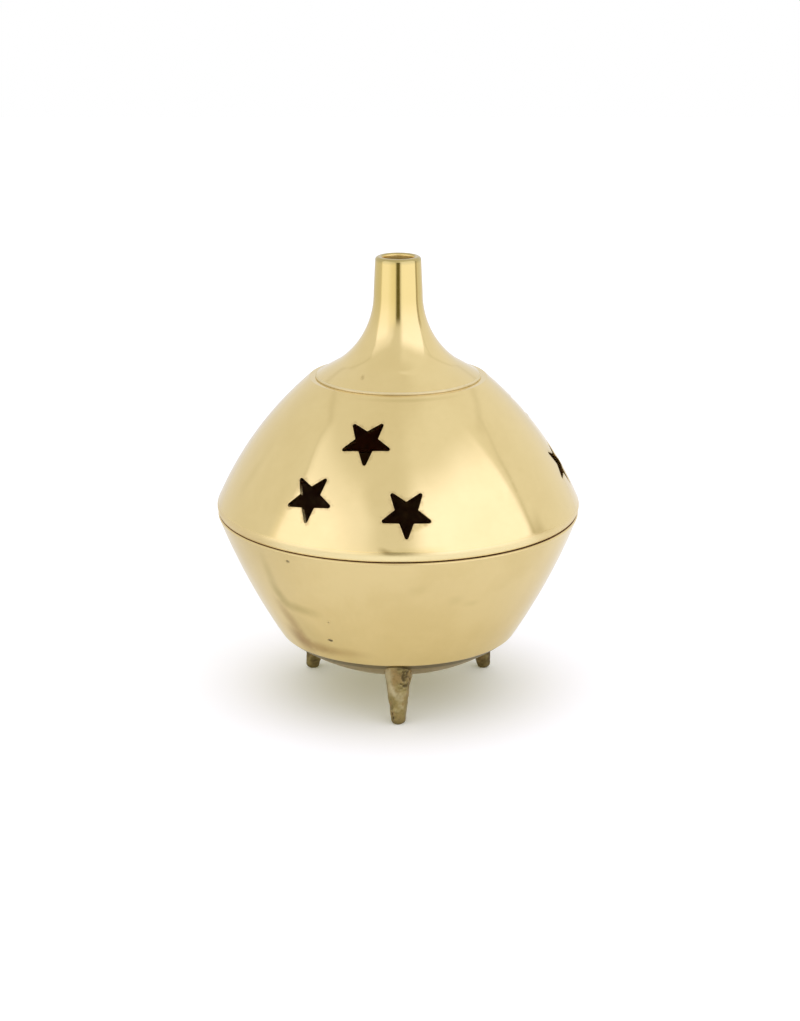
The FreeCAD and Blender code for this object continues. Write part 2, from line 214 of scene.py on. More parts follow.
def turned(name, corners, materials, around=AROUND, exact=True, place=None):
    """A piece turned about Z from the corners of its outline. An outline that starts on the axis is left open."""
    closed = corners[0].radius > 0
    rows = outline(corners, closed)
    points = [p for p, _ in rows]
    vertices, normals, rings = [], [], []
    for point, normal in zip(points, outline_normals(points, closed)):
        on_axis = point.x < 1e-6
        ring = []
        for k in range(1 if on_axis else around):
            azimuth = FULL_TURN * k / around
            ring.append(len(vertices))
            vertices.append(polar(point.x, azimuth, point.y))
            normals.append(Vector((0, 0, copysign(1, normal.y))) if on_axis else
                           polar(normal.x, azimuth, normal.y))
        rings.append(ring)
    faces, finishes = [], []
    for n in range(len(rings) if closed else len(rings) - 1):
        here, there = rings[n], rings[(n + 1) % len(rings)]
        for k in range(around):
            face = [here[k % len(here)], here[(k + 1) % len(here)],
                    there[(k + 1) % len(there)], there[k % len(there)]]
            faces.append([v for i, v in enumerate(face) if v != face[i - 1]])
            finishes.append(rows[n][1])
    if place is not None:
        vertices = [place @ v for v in vertices]
        normals = [place.to_3x3() @ v for v in normals]
    return make_object(name, vertices, faces, finishes, materials, normals if exact else None)


def give_attribute(item, name, values):
    item.data.attributes.new(name, "FLOAT", "POINT").data.foreach_set("value", values)


def cut(item, tool):
    """Cuts the tool from the item, and removes it."""
    change = item.modifiers.new("change", "BOOLEAN")
    change.operation, change.object, change.solver = "DIFFERENCE", tool, "EXACT"
    graph = bpy.context.evaluated_depsgraph_get()
    mesh = bpy.data.meshes.new_from_object(item.evaluated_get(graph))
    item.modifiers.clear()
    old, item.data = item.data, mesh
    bpy.data.meshes.remove(old)
    bpy.data.objects.remove(tool)
    mesh.name = item.name
    mesh.polygons.foreach_set("use_smooth", [True] * len(mesh.polygons))
    mesh.set_sharp_from_angle(angle=SHARP_ANGLE)


def foot_frame(name):
    """Frame of a foot, in millimetres: origin at its point on the table, Z up the leaning foot."""
    around = Matrix.Rotation(FEET.index(name) * radians(120), 4, "Z")
    lean = Matrix.Rotation(-FOOT_LEAN, 4, "X")
    return around @ Matrix.Translation((0, -FOOT_SPREAD, 0)) @ lean


# ---- materials
class Nodes:
    """Short hand for building a node tree."""

    def __init__(self, tree):
        self.tree = tree

    def feed(self, node, values):
        """Links or sets inputs of a node."""
        for key, value in values.items():
            if isinstance(value, bpy.types.NodeSocket):
                self.tree.links.new(value, node.inputs[key])
            else:
                node.inputs[key].default_value = value

    def add(self, kind, values=None, **settings):
        node = self.tree.nodes.new(kind)
        for key, value in settings.items():
            setattr(node, key, value)
        self.feed(node, values or {})
        return node

    def math(self, operation, a, b=0.0):
        return self.add("ShaderNodeMath", {0: a, 1: b}, operation=operation).outputs[0]

    def plus(self, a, b):
        return self.math("ADD", a, b)

    def minus(self, a, b):
        return self.math("SUBTRACT", a, b)

    def times(self, a, b):
        return self.math("MULTIPLY", a, b)

    def vector(self, operation, a, b=(0, 0, 0)):
        node = self.add("ShaderNodeVectorMath", {0: a, 1: b}, operation=operation)
        return node.outputs["Value" if operation == "LENGTH" else "Vector"]

    def ramp(self, value, start, end, out_start=0.0, out_end=1.0):
        """Smooth step of value from start to end."""
        values = {"Value": value, "From Min": start, "From Max": end, "To Min": out_start, "To Max": out_end}
        return self.add("ShaderNodeMapRange", values, interpolation_type="SMOOTHSTEP").outputs["Result"]

    def fall(self, value, start, end):
        return self.ramp(value, start, end, 1.0, 0.0)

    def mix(self, factor, a, b):
        a, b = (c if isinstance(c, bpy.types.NodeSocket) else (*c, 1.0) for c in (a, b))
        return self.add("ShaderNodeMix", {0: factor, 6: a, 7: b}, data_type="RGBA").outputs[2]

    def noise(self, vector, scale, detail=3.0, roughness=0.55, distortion=0.0):
        values = {"Vector": vector, "Scale": scale, "Detail": detail,
                  "Roughness": roughness, "Distortion": distortion}
        return self.add("ShaderNodeTexNoise", values).outputs["Fac"]

    def combine(self, x, y, z):
        return self.add("ShaderNodeCombineXYZ", {0: x, 1: y, 2: z}).outputs[0]

    def bump(self, relief):
        """Normal of a relief given in millimetres."""
        return self.add("ShaderNodeBump", {"Height": self.times(relief, MM), "Distance": 1.0}).outputs["Normal"]


def new_material(name):
    material = bpy.data.materials.new(name)
    material.use_nodes = True
    return material, Nodes(material.node_tree), material.node_tree.nodes["Principled BSDF"]


def turned_coordinates(nodes):
    """(point in millimetres, azimuth in radians, radius, height) of the shaded point on its own piece."""
    place = nodes.add("ShaderNodeTexCoord").outputs["Object"]
    point = nodes.vector("MULTIPLY", place, (1000, 1000, 1000))
    parts = nodes.add("ShaderNodeSeparateXYZ", {0: point}).outputs
    azimuth = nodes.math("ARCTAN2", parts[0], nodes.times(parts[1], -1.0))
    flat = nodes.plus(nodes.times(parts[0], parts[0]), nodes.times(parts[1], parts[1]))
    return point, azimuth, nodes.math("SQRT", flat), parts[2]


def brass(name, bright, dull, roughness, rings, wobble=0.0, stain=0.3, soot=None, clean_above=None,
          golden_above=None, dull_lip=None, lower_band_top=None, marks=(), edge_attribute=None):
    """Turned brass: polishing rings round the axis, hairline scratches, pits, soft marks (some of them painted
    reflections), and a little tarnish.

    rings and wobble are heights in millimetres. soot is (colour, share) and fades out below clean_above. The brass
    is more golden above golden_above, olive above dull_lip, rougher along the lower edge, and lighter there at the
    front.
    marks are (azimuth in degrees, radius, height, half length, half width, tilt in degrees, strength, depth, colour).
    """
    material, nodes, shader = new_material(name)
    plus, minus, times, ramp, mix = nodes.plus, nodes.minus, nodes.times, nodes.ramp, nodes.mix
    point, azimuth, radius, height = turned_coordinates(nodes)

    # slow clouds of tarnish
    fleck = nodes.noise(point, 0.9, 3, 0.6)
    tone = ramp(plus(nodes.noise(point, 0.055, 4, 0.6), times(fleck, 0.12)), 0.42, 0.74)
    colour = mix(times(tone, 0.55 + stain), bright, dull)
    rough = plus(roughness, times(tone, 0.05))

    # turning marks run round the axis and are fine across it
    def marks_round(on, across, detail, share):
        at = nodes.combine(times(azimuth, on), times(height, across), times(radius, across))
        return nodes.noise(at, 1.0, detail, share)

    turning, coarse = marks_round(0.6, 3.4, 4, 0.7), marks_round(0.25, 0.7, 2, 0.5)
    rough = plus(rough, times(ramp(turning, 0.45, 0.8), 0.06))

    # hairlines left by wiping, in two directions
    hair = []
    for angle in (0.5, -0.85):
        turned_point = nodes.add("ShaderNodeVectorRotate", {"Vector": point, "Angle": angle},
                                 rotation_type="Y_AXIS").outputs[0]
        stretched = nodes.vector("MULTIPLY", turned_point, (0.09, 0.35, 4.5))
        hair.append(ramp(nodes.noise(stretched, 1.0, 2, 0.5), 0.70, 0.76))
    scratches = nodes.math("MAXIMUM", *hair)
    rough = plus(rough, times(scratches, 0.10))

    relief = plus(times(turning, rings), times(coarse, rings * 2))
    relief = minus(relief, times(scratches, rings * 1.2))
    if wobble:
        relief = plus(relief, times(nodes.noise(point, 0.07, 2, 0.5), wobble))

    # soft marks without depth are streaks, some of them painted reflections; pits are sharp, with depth
    for at, reach, level, length, width, tilt, strength, depth, mark_colour in marks:
        along, over = times(minus(azimuth, radians(at)), reach), minus(height, level)
        way = heading(radians(tilt))
        on = plus(times(along, way.x / length), times(over, way.y / length))
        across = plus(times(along, -way.y / width), times(over, way.x / width))
        ragged = plus(nodes.vector("LENGTH", nodes.combine(on, across, 0.0)), times(fleck, 0.9 if depth else 0.5))
        mark = ramp(ragged, *((0.75, 1.55) if depth else (0.25, 1.75)), 1.0, 0.0)
        colour = mix(times(mark, strength), colour, mark_colour)
        if depth:
            relief = minus(relief, times(mark, depth))
            rough = plus(rough, times(mark, 0.3))

    if edge_attribute:
        edge = nodes.add("ShaderNodeAttribute", attribute_name=edge_attribute).outputs["Fac"]
        smoke = times(edge, ramp(nodes.noise(point, 0.8, 3), 0.3, 0.75))
        colour = mix(times(smoke, 0.55), colour, EDGE_SMOKE)
        rough = plus(rough, times(smoke, 0.2))
    metal = 1.0
    if soot:
        soot_colour, soot_share = soot
        bare = 0.45 * soot_share
        cover = ramp(nodes.noise(point, 0.16, 5, 0.65, 0.4), 0.62 - bare, 0.95 - bare)
        if clean_above:
            cover = times(cover, nodes.fall(height, clean_above - 1.4, clean_above))
        colour = mix(cover, colour, soot_colour)
        rough = plus(rough, times(cover, 0.35))
        metal = minus(1.0, times(cover, 0.7))
    if golden_above:
        colour = mix(ramp(height, golden_above, golden_above + 10, 0.0, 0.85), colour, GOLDEN)
    if dull_lip:
        colour = mix(ramp(height, dull_lip, dull_lip + 0.9, 0.0, 0.55), colour, DULL_OLIVE)
    if lower_band_top:
        rough = plus(rough, ramp(height, lower_band_top - 0.5, lower_band_top + 0.5, 0.22, 0.0))
        # lighter over the front quarter of the lower band, from about -40 to +45 degrees; the rest of the band keeps
        # the plain colour
        front = times(ramp(azimuth, -0.82, -0.60), nodes.fall(azimuth, 0.72, 0.90))
        colour = mix(times(front, ramp(height, lower_band_top - 1.3, lower_band_top, 0.8, 0.0)), colour, FRONT_BAND_COLOUR)
    nodes.feed(shader, {"Base Color": colour, "Roughness": rough, "Metallic": metal, "Normal": nodes.bump(relief)})
    return material


def cast_brass():
    """Raw sand casting: grey beige where it stands out, partly a painted highlight, olive and brown between, dark in
    crevices and towards the bottom, with painted shade on the rear feet and at the top of each foot.
    """
    material, nodes, shader = new_material("raw_cast_brass")
    plus, times, ramp, mix = nodes.plus, nodes.times, nodes.ramp, nodes.mix
    point, _, _, height = turned_coordinates(nodes)
    hollow_and_shade = nodes.add("ShaderNodeAttribute", attribute_name="hollow_and_shade").outputs["Fac"]
    grain = nodes.noise(point, 1.7, 4, 0.6)
    body = mix(ramp(nodes.noise(point, 0.33, 2, 0.5), 0.40, 0.60), (0.33, 0.265, 0.105), (0.355, 0.252, 0.105))
    body = mix(times(ramp(grain, 0.40, 0.72), 0.40), body, (0.17, 0.130, 0.042))
    # lighter where the relief stands out: rubbed metal with a painted highlight on the ridges
    stands_out = nodes.fall(plus(hollow_and_shade, times(grain, 0.2)), 0.12, 0.52)
    colour = mix(times(stands_out, 0.85), body, (0.53, 0.46, 0.27))
    # dark in crevices, and darker wherever the foot's attribute carries painted shade
    deep_and_shaded = ramp(plus(hollow_and_shade, times(grain, 0.35)), 0.66, 1.25)
    colour = mix(deep_and_shaded, colour, (0.115, 0.085, 0.032))
    colour = mix(ramp(height, 0.2, 2.4, 0.75, 0.0), colour, (0.15, 0.115, 0.04))
    nodes.feed(shader, {"Base Color": colour, "Roughness": plus(0.36, times(deep_and_shaded, 0.3)), "Metallic": 0.85,
                        "Normal": nodes.bump(times(grain, 0.14))})
    return material


POLISHED, POLISHED_DULL = (0.80, 0.645, 0.315), (0.735, 0.580, 0.265)
BROWN_SOOT, BLACK_SOOT, MAROON_SOOT = (0.220, 0.102, 0.042), (0.030, 0.018, 0.008), (0.480, 0.180, 0.074)
PIT, OLIVE, BROWN = (0.045, 0.028, 0.010), (0.40, 0.315, 0.10), (0.34, 0.18, 0.045)
EDGE_SMOKE, GOLDEN = (0.30, 0.19, 0.07), (0.64, 0.50, 0.18)
DULL_OLIVE, FRONT_BAND_COLOUR = (0.40, 0.34, 0.15), (0.97, 0.84, 0.47)

BOWL_PITS_STREAKS_AND_PAINTED_REFLECTIONS = (
    (-36.2, 40.3, 41.1, 0.72, 0.46, 10, 0.60, 0.10, PIT),
    (-29.0, 30.8, 20.9, 0.80, 0.42, 0, 0.80, 0.14, PIT),
    (-26.8, 33.7, 26.2, 0.42, 0.34, 0, 0.36, 0.04, PIT),
    # painted reflection: the olive and brown streaks at the bowl's lower left
    (-47.2, 38.0, 35.6, 6.5, 1.5, 94, 0.26, 0, OLIVE),
    (-46.2, 35.8, 30.6, 3.6, 1.6, -62, 0.46, 0, OLIVE),
    (-39.5, 34.8, 28.4, 5.4, 1.4, -4, 0.46, 0, OLIVE),
    (-46.6, 32.4, 23.4, 5.6, 2.0, -70, 0.50, 0, BROWN),
    (-47.5, 29.6, 18.9, 3.6, 2.8, -44, 0.70, 0, BROWN),
    (-38.5, 29.0, 17.8, 5.4, 1.7, -4, 0.50, 0, BROWN),
    (-26.0, 29.0, 17.8, 6.5, 1.3, 0, 0.30, 0, BROWN),
    (-39.5, 30.6, 21.8, 6.0, 3.6, -50, 0.18, 0, OLIVE),
    (6.2, 38.5, 36.4, 2.4, 1.2, 20, 0.10, 0, OLIVE),
    (19.5, 37.0, 33.0, 1.7, 1.4, 0, 0.14, 0, OLIVE),
    (25.6, 36.3, 31.6, 2.2, 0.9, 0, 0.12, 0, OLIVE),
)
LID_MARKS = (
    (-3.4, 41.1, 45.9, 1.7, 0.62, -17, 0.55, 0, (0.30, 0.20, 0.055)),
    (6.0, 41.1, 45.9, 6.5, 0.9, 2, 0.32, 0, (0.64, 0.48, 0.15)),
    (7.0, 38.7, 50.9, 2.6, 0.7, 24, 0.45, 0, (0.42, 0.32, 0.08)),
    (8.0, 20.8, 73.75, 10.0, 0.35, 0, 0.25, 0, OLIVE),
    (-31.6, 14.9, 77.0, 0.8, 0.42, -30, 0.30, 0.01, (0.30, 0.22, 0.07)),
    (-63.5, 35.0, 57.0, 6.0, 1.9, 80, 0.14, 0, (0.52, 0.38, 0.12)),
)

bowl_outside = brass(
    "bowl_polished", POLISHED, POLISHED_DULL, 0.11, 0.0009, wobble=0.030, stain=0.1, marks=BOWL_PITS_STREAKS_AND_PAINTED_REFLECTIONS)
# duller underside, whose colour is also darkened as painted shade where it faces its shadow on the table
bowl_underside_shaded = brass("bowl_underside_dull_painted_shade", (0.34, 0.245, 0.078), (0.25, 0.172, 0.050), 0.30, 0.004, wobble=0.03)
# band just under the crease: painted shade, darker still
bowl_crease_shade = brass("bowl_crease_painted_shade", (0.17, 0.125, 0.032), (0.12, 0.085, 0.022), 0.34, 0.004, stain=0.2)
bowl_inside = brass(
    "bowl_inside_stained", (0.38, 0.25, 0.105), (0.27, 0.16, 0.066), 0.42, 0.012, soot=(BROWN_SOOT, 0.75))
lid_outside = brass(
    "lid_polished", POLISHED, POLISHED_DULL, 0.075, 0.0006, wobble=0.022, stain=0.0, golden_above=84.0,
    dull_lip=100.3, lower_band_top=45.9, marks=LID_MARKS, edge_attribute="near_hole")
lid_inside = brass("lid_inside_smoked", (0.46, 0.27, 0.11), (0.28, 0.14, 0.06), 0.45, 0.010, soot=(MAROON_SOOT, 0.85))
flue_smoked = brass(
    "flue_smoked", (0.95, 0.75, 0.31), (0.88, 0.65, 0.24), 0.36, 0.004, stain=0.1, soot=(BLACK_SOOT, 1.2),
    clean_above=100.5)
joint_dull = brass("joint_dull", (0.80, 0.69, 0.42), (0.72, 0.61, 0.34), 0.46, 0.002, stain=0.0)
plate_brass = brass("plate_smoked", (0.48, 0.33, 0.14), (0.30, 0.18, 0.075), 0.36, 0.006, soot=(BROWN_SOOT, 0.6))
fastener_brass = brass(
    "fastener_dulled", (0.62, 0.46, 0.20), (0.38, 0.25, 0.10), 0.32, 0.004, stain=0.2, soot=(BROWN_SOOT, 0.35))
foot_brass = cast_brass()


# ---- bowl
def bowl():
    """Bowl with a polished outside, a stained inside, and an underside darkened with painted shade."""
    item = turned("bowl_shell", [
        corner(0, FLOOR_HEIGHT, finish=2, steps=8),
        corner(FLAT_RADIUS, FLOOR_HEIGHT, FLAT_BEND, finish=2),
        corner(HIP_RADIUS, HIP_HEIGHT, UNDERSIDE_BEND, finish=2),
        # finish 3, the band just under the crease, is painted shade; finish 2, the rest of the underside, is darkened
        # by painted shade
        corner(CREASE_RADIUS - 2.4, underside_height(CREASE_RADIUS - 2.4), UNDERSIDE_BEND, finish=3),
        corner(CREASE_RADIUS, CREASE_HEIGHT, WALL_BEND, soft=0.25),
        corner(RIM_RADIUS, SEAM_HEIGHT - 0.3, soft=0.1),
        corner(RIM_RADIUS - 0.3, SEAM_HEIGHT - 0.02, finish=1, soft=0.1),
        corner(RIM_RADIUS - RIM_LAND, SEAM_HEIGHT - 0.02, -(WALL_BEND - BOWL_WALL), finish=1, soft=0.12),
        corner(INNER_CREASE_RADIUS, INNER_CREASE_HEIGHT, -INNER_BEND, finish=1, soft=0.4),
        corner(FLAT_RADIUS, FLOOR_HEIGHT + BOWL_WALL, finish=1, steps=8),
        corner(0, FLOOR_HEIGHT + BOWL_WALL, finish=1),
    ], [bowl_outside, bowl_inside, bowl_underside_shaded, bowl_crease_shade])
    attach(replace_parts(item, "bowl"), "base")
    for name in FEET:
        pad = turned(f"bowl_pad_{name}", [
            corner(0, PAD_HEIGHT - 3.2, steps=3),
            corner(PAD_RADIUS - 0.9, PAD_HEIGHT - 3.2, soft=0.3),
            corner(PAD_RADIUS, PAD_HEIGHT - 2.2, soft=0.1),
            corner(PAD_RADIUS, PAD_HEIGHT, soft=0.35),
            corner(0, PAD_HEIGHT),
        ], [bowl_inside], around=48, place=foot_frame(name))
        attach(pad, "base")


# ---- pierced dome
def star_loop():
    """Points of a star with one tip down, round its tips and valleys, each with its normal out of the star."""
    half = radians(36)
    edge = Vector((STAR_RADIUS, 0)) - heading(half) * STAR_INNER_RADIUS
    tip_angle = atan2(abs(edge.y), edge.x)      # half the angle of a tip
    valley_angle = tip_angle + half             # half the angle of a valley, metal side
    points = []

    def add_arc(centre, radius, start, end, outward):
        for k in range(6):
            way = heading(start + (end - start) * k / 5)
            points.append((centre + way * radius, way * outward))

    for number in range(5):
        angle = radians(-90 + 72 * number)
        spread, back = pi / 2 - tip_angle, pi / 2 - valley_angle
        add_arc(heading(angle) * (STAR_RADIUS - STAR_TIP_ROUND / sin(tip_angle)), STAR_TIP_ROUND,
                angle - spread, angle + spread, 1)
        angle += half
        add_arc(heading(angle) * (STAR_INNER_RADIUS + STAR_VALLEY_ROUND / sin(valley_angle)), STAR_VALLEY_ROUND,
                angle + pi + back, angle + pi - back, -1)
    return spaced(points)


def spaced(points):
    """Adds points along the straight sides, so that no edge of the loop is longer than about 0.6 mm."""
    loop = []
    for (point, normal), (after, _) in zip(points, points[1:] + points[:1]):
        way = (after - point).normalized()
        across = Vector((way.y, -way.x))
        across *= copysign(1, across.dot(normal))
        pieces = max(1, round((after - point).length / 0.6))
        loop += [(point.lerp(after, k / pieces), across if k else normal) for k in range(pieces)]
    return loop


def inside(point, loop):
    """True if a plane point lies within a closed loop of points."""
    crossed = False
    for n, a in enumerate(loop):
        b = loop[n - 1]
        if (a.y > point.y) != (b.y > point.y):
            if point.x < (b.x - a.x) * (point.y - a.y) / (b.y - a.y) + a.x:
                crossed = not crossed
    return crossed


class DomeSkin:
    """One skin of the dome: a surface turned from an arc about a centre (radius, height)."""

    ROWS = 52

    def __init__(self, centre, bend, low_angle, high_angle):
        self.centre, self.bend = centre, bend
        self.angles = [low_angle + (high_angle - low_angle) * n / (self.ROWS - 1) for n in range(self.ROWS)]

    def point(self, azimuth, angle):
        return polar(self.centre.x + self.bend * cos(angle), azimuth,
                     self.centre.y + self.bend * sin(angle))

    def along(self, point, way):
        """Where the line through point along way meets this skin, nearest to point."""
        for _ in range(8):
            flat = Vector((hypot(point.x, point.y), point.z)) - self.centre
            point = point - way * (flat.length - self.bend)
        return point

    def place(self, point):
        """(azimuth, angle in the arc) of a point on the skin."""
        radius = hypot(point.x, point.y)
        return atan2(point.x, -point.y), atan2(point.z - self.centre.y, radius - self.centre.x)

    def normal(self, azimuth, angle):
        return polar(cos(angle), azimuth, sin(angle))


class Shell:
    """Vertices, normals, faces and finishes of a mesh in the making."""

    def __init__(self):
        self.vertices, self.normals, self.edge, self.faces, self.finishes = [], [], [], [], []

    def add(self, point, normal, edge=0.0):
        self.vertices.append(point)
        self.normals.append(normal)
        self.edge.append(edge)
        return len(self.vertices) - 1

    def face(self, corners, finish, flip=False):
        self.faces.append(list(reversed(corners)) if flip else list(corners))
        self.finishes.append(finish)

    def strip(self, here, there, finish):
        """Closed band of faces between two rings of the same length."""
        for k in range(len(here)):
            after = (k + 1) % len(here)
            self.face([here[k], here[after], there[after], there[k]], finish)


def fill_patch(shell, skin, grid, columns, loops, finish, flip):
    """Fills a skin between two columns of its grid, leaving the loops open.

    grid[row][column] are the skin's vertices; loops are rings of vertices that lie on the skin.
    """
    scale = skin.centre.x + skin.bend * cos(skin.angles[len(skin.angles) // 2])
    first, last = columns

    def flattened(point):
        azimuth, angle = skin.place(point)
        return Vector((((azimuth - first * STEP) % FULL_TURN + first * STEP) * scale, angle * skin.bend))

    flat_loops = [[flattened(shell.vertices[vertex]) for vertex in ring] for ring in loops]
    points, owners = [], []
    clear = 0.34                 # grid points closer than this to a star's edge are left out
    for row, angle in enumerate(skin.angles):
        for column in range(first, last + 1):
            at = Vector((column * STEP * scale, angle * skin.bend))
            on_border = row in (0, len(skin.angles) - 1) or column in (first, last)
            crowded = any((at - p).length < clear for flat in flat_loops for p in flat)
            if on_border or not (crowded or any(inside(at, flat) for flat in flat_loops)):
                points.append(at)
                owners.append(grid[row][column % AROUND])
    edges = []
    for ring, flat in zip(loops, flat_loops):
        base = len(points)
        points += flat
        owners += ring
        edges += [(base + k, base + (k + 1) % len(ring)) for k in range(len(ring))]
    made = delaunay_2d_cdt(points, edges, [], 0, 1e-7)
    source = [ids[0] for ids in made[3]]
    for triangle in made[2]:
        middle = sum((made[0][v] for v in triangle), Vector((0, 0))) / 3
        if not any(inside(middle, flat) for flat in flat_loops):
            shell.face([owners[source[v]] for v in triangle], finish, flip)


def star_hole(shell, outer, inner, azimuth, height, turn):
    """Walls of one star, square to the dome. Returns its rings on the outer and on the inner skin."""
    angle = asin((height - outer.centre.y) / outer.bend)
    middle, out = outer.point(azimuth, angle), outer.normal(azimuth, angle)
    across = Vector((cos(azimuth), sin(azimuth), 0))
    spin = Matrix.Rotation(radians(turn), 3, out)
    across, upward = spin @ across, spin @ out.cross(across)

    def at(flat):
        return middle + across * flat.x + upward * flat.y

    loop = [(point, normal, -(across * normal.x + upward * normal.y)) for point, normal in star_loop()]
    rings = []
    for tilt in map(radians, (0, 22.5, 45, 67.5, 90)):
        ring = []
        for point, normal, wall_normal in loop:
            on_skin = outer.along(at(point + normal * STAR_EDGE_ROUND * (1 - sin(tilt))), out)
            skin_normal = outer.normal(*outer.place(on_skin))
            ring.append(shell.add(on_skin - out * STAR_EDGE_ROUND * (1 - cos(tilt)),
                                  (skin_normal * cos(tilt) + wall_normal * sin(tilt)).normalized(), 1.0))
        rings.append(ring)
    for spread, depth in ((0.0, STAR_EDGE_ROUND), (STAR_EDGE_ROUND, 0.0)):
        ring = []
        for point, normal, wall_normal in loop:
            on_skin = inner.along(at(point + normal * spread) - out * DOME_WALL, out)
            facing = wall_normal if depth else -inner.normal(*inner.place(on_skin))
            ring.append(shell.add(on_skin + out * depth, facing, 1.0))
        rings.append(ring)
    for n, (here, there) in enumerate(zip(rings, rings[1:])):
        shell.strip(here, there, 0 if n < 5 else 1)
    return rings[0], rings[-1]


def lid_dome():
    """Dome with rounded star holes: the two skins are meshed round the stars, and every normal is exact."""
    centre_radius = SHOULDER_RADIUS - SHOULDER_ROUND
    start = Vector((centre_radius + SHOULDER_ROUND * cos(DOME_START_ANGLE),
                    SHOULDER_HEIGHT + SHOULDER_ROUND * sin(DOME_START_ANGLE)))
    top = Vector((DOME_TOP_RADIUS, DOME_TOP_HEIGHT))
    centre = arc_centre(start, top, DOME_BEND)

    def angle_at(point):
        return atan2(point.y - centre.y, point.x - centre.x)

    inner_low = Vector((INNER_DOME_RADIUS, RING_SEAT_HEIGHT))
    inner_top = Vector((INNER_DOME_TOP_RADIUS, DOME_TOP_HEIGHT - DOME_LIP))
    outer = DomeSkin(centre, DOME_BEND, angle_at(start) + 0.002, angle_at(top) - 0.003)
    inner = DomeSkin(centre, DOME_BEND - DOME_WALL, angle_at(inner_low) + 0.003, angle_at(inner_top) - 0.003)
    shell = Shell()

    def gap_lift(height, azimuth):
        """The lid sits a hair higher on one side, which widens the dark seam there."""
        return SEAM_LIFT * cos(azimuth - SEAM_OPENS_AT) * clamp(SEAM_FADE - (height - SEAM_HEIGHT))

    def ring_at(point, normal):
        return [shell.add(polar(point.x, k * STEP, point.y + gap_lift(point.y, k * STEP)),
                          polar(normal.x, k * STEP, normal.y))
                for k in range(AROUND)]

    def skin_grid(skin, sign):
        return [[shell.add(skin.point(k * STEP, angle), skin.normal(k * STEP, angle) * sign)
                 for k in range(AROUND)] for angle in skin.angles]

    outer_grid, inner_grid = skin_grid(outer, 1), skin_grid(inner, -1)

    # the rest of the outline: over the top edge and down the mouth, and round the foot of the dome
    def skin_end(skin, index):
        return skin.centre + heading(skin.angles[index]) * skin.bend

    def join(from_ring, to_ring, corners):
        rows = outline(corners, closed=False)
        points = [p for p, _ in rows]
        normals = outline_normals(points, closed=False)
        rings = [from_ring] + [ring_at(p, n) for p, n in list(zip(points, normals))[1:-1]] + [to_ring]
        for (_, finish), here, there in zip(rows, rings, rings[1:]):
            shell.strip(here, there, finish)

    seat_drop = sqrt(SHOULDER_ROUND ** 2 - (SHOULDER_HEIGHT - SEAM_HEIGHT) ** 2)
    seat_edge = Vector((centre_radius + seat_drop, SEAM_HEIGHT))
    join(outer_grid[-1], inner_grid[-1], [
        corner(*skin_end(outer, -1), steps=1),
        corner(*top, soft=0.1),
        corner(DOME_MOUTH_RADIUS, DOME_TOP_HEIGHT, finish=1, soft=0.2),
        corner(DOME_MOUTH_RADIUS, DOME_TOP_HEIGHT - DOME_LIP, finish=1, soft=0.2),
        corner(*inner_top, finish=1, steps=1, soft=0.1),
        corner(*skin_end(inner, -1), finish=1),
    ])
    join(inner_grid[0], outer_grid[0], [
        corner(*skin_end(inner, 0), finish=1, steps=1),
        corner(*inner_low, finish=1, soft=0.1),
        corner(RING_SEAT_RADIUS, RING_SEAT_HEIGHT, finish=1, soft=0.15),
        corner(RING_SEAT_RADIUS, SEAM_HEIGHT + SEAM_GAP, finish=1, soft=0.15),
        corner(seat_edge.x - 0.15, SEAM_HEIGHT + SEAM_GAP, soft=0.1),
        corner(seat_edge.x + 0.02, SEAM_HEIGHT + SEAM_GAP + 0.12, SHOULDER_ROUND, soft=0.1, steps=18),
        corner(*skin_end(outer, 0)),
    ])

    holes = [[star_hole(shell, outer, inner, radians(group + azimuth), height, turn)
              for azimuth, height, turn in STARS] for group in STAR_GROUPS]
    patched = set()
    for group, rings in zip(STAR_GROUPS, holes):
        columns = (floor((radians(group) - STAR_PATCH) / STEP),
                   ceil((radians(group) + STAR_PATCH) / STEP))
        patched |= {column % AROUND for column in range(*columns)}
        outer_rings, inner_rings = zip(*rings)
        fill_patch(shell, outer, outer_grid, columns, outer_rings, 0, False)
        fill_patch(shell, inner, inner_grid, columns, inner_rings, 1, True)
    for column in range(AROUND):
        if column in patched:
            continue
        after = (column + 1) % AROUND
        for row in range(DomeSkin.ROWS - 1):
            shell.face([outer_grid[row][column], outer_grid[row][after],
                        outer_grid[row + 1][after], outer_grid[row + 1][column]], 0)
            shell.face([inner_grid[row][column], inner_grid[row + 1][column],
                        inner_grid[row + 1][after], inner_grid[row][after]], 1)

    used = sorted({v for face in shell.faces for v in face})
    renumber = {old: new for new, old in enumerate(used)}
    item = make_object("lid_dome_pierced", [shell.vertices[v] for v in used],
                       [[renumber[v] for v in face] for face in shell.faces], shell.finishes,
                       [lid_outside, lid_inside], [shell.normals[v] for v in used])
    give_attribute(item, "near_hole", [shell.edge[v] for v in used])
    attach(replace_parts(item, "lid_dome"), "lid")


# ---- ring, chimney, plate, cup
def lid_ring():
    item = turned("lid_locating_ring", [
        corner(RING_INNER_RADIUS, RING_BOTTOM, soft=0.2),
        corner(RING_OUTER_RADIUS - 0.4, RING_BOTTOM, soft=0.1),
        corner(RING_OUTER_RADIUS, RING_BOTTOM + 0.4, soft=0.1),
        corner(RING_OUTER_RADIUS, RING_TOP, soft=0.2),
        corner(RING_INNER_RADIUS, RING_TOP, soft=0.2),
    ], [fastener_brass])
    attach(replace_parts(item, "lid_ring"), "lid")


